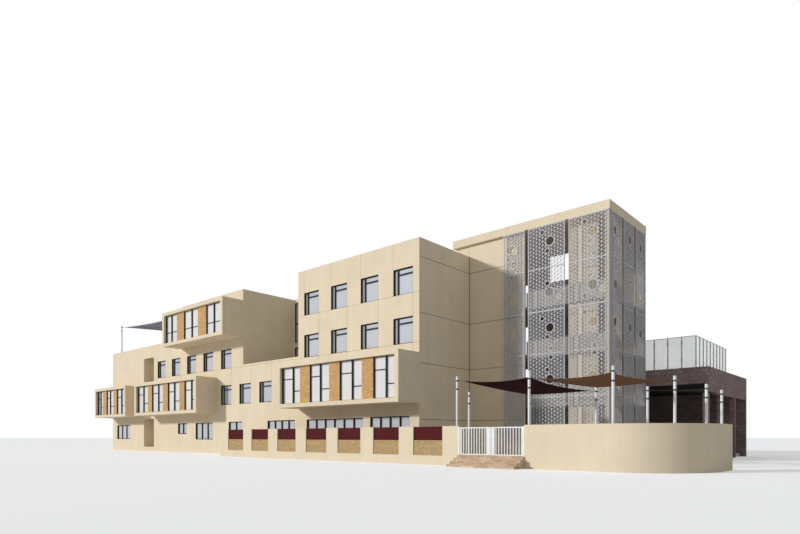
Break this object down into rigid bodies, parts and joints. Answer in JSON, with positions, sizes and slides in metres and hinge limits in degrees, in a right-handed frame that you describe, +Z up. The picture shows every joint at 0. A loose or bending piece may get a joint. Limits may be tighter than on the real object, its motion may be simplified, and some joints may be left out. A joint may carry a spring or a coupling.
{
  "type": "1:2 scale model of a four-storey school building",
  "caption": "School building with forward bays, roof terraces, a screened stair tower, a podium, a street wall and a swinging entrance gate.",
  "frame": {"origin": "middle of the footprint on the ground", "axes": "+X along the front from left to right, +Y towards the rear, +Z up"},
  "size_m": [39.735, 17.095, 9.65],
  "materials": {
    "brown_cloth": "satin",
    "brown_stone": "satin",
    "burgundy_metal": "satin",
    "concrete": "satin",
    "glass": "satin",
    "grey_cloth": "satin",
    "maroon_cloth": "satin",
    "render": "satin",
    "screen": "satin",
    "step_stone": "satin",
    "tan_stone": "satin",
    "white_metal": "satin"
  },
  "bodies": {
    "root": {"balustrade_glass": "glass", "balustrade_posts": "white_metal", "bay_glass": "glass", "bay_panels": "tan_stone", "bay_side_walls": "render", "bay_slabs": "render", "block_front_wall": "render", "block_right_wall": "render", "brown_sail": "brown_cloth", "east_sail": "grey_cloth", "entrance_steps": "step_stone", "entrance_wall": "render", "first_floor": "concrete", "first_floor_front_wall": "render", "front_parapets": "render", "front_screens": "screen", "gate_posts": "white_metal", "ground_floor": "concrete", "ground_front_wall": "render", "landing_parapets": "render", "left_end_wall": "render", "link_rear_wall": "render", "lobby_walls": "render", "main_roof": "concrete", "maroon_sail": "maroon_cloth", "niche_walls": "render", "outer_ground_slabs": "concrete", "podium_columns": "brown_stone", "podium_deck": "concrete", "podium_fascia": "brown_stone", "podium_walls": "brown_stone", "rear_walls": "render", "roof_sail": "grey_cloth", "sail_posts": "white_metal", "sail_stays": "white_metal", "second_floor": "concrete", "shaft_wall": "render", "side_screens": "screen", "street_wall": "render", "third_floor": "concrete", "tower_columns": "render", "tower_landings": "concrete", "tower_rear_wall": "render", "tower_roof": "render", "upper_side_walls": "render", "wall_insets": "tan_stone", "wall_panels": "burgundy_metal", "window_glass": "glass", "wing_front_wall": "render"},
    "gate_left": {"gate_left_leaf": "white_metal"},
    "gate_right": {"gate_right_leaf": "white_metal"}
  },
  "joints": [
    {"name": "gate_left_hinge", "type": "hinge", "parent": "root", "child": "gate_left", "pos_m": [12.8725, -7.835, 0.35], "axis": [0, 0, 1], "range_deg": [0, 90]},
    {"name": "gate_right_hinge", "type": "hinge", "parent": "root", "child": "gate_right", "pos_m": [15.0825, -7.835, 0.35], "axis": [0, 0, -1], "range_deg": [0, 90]}
  ]
}
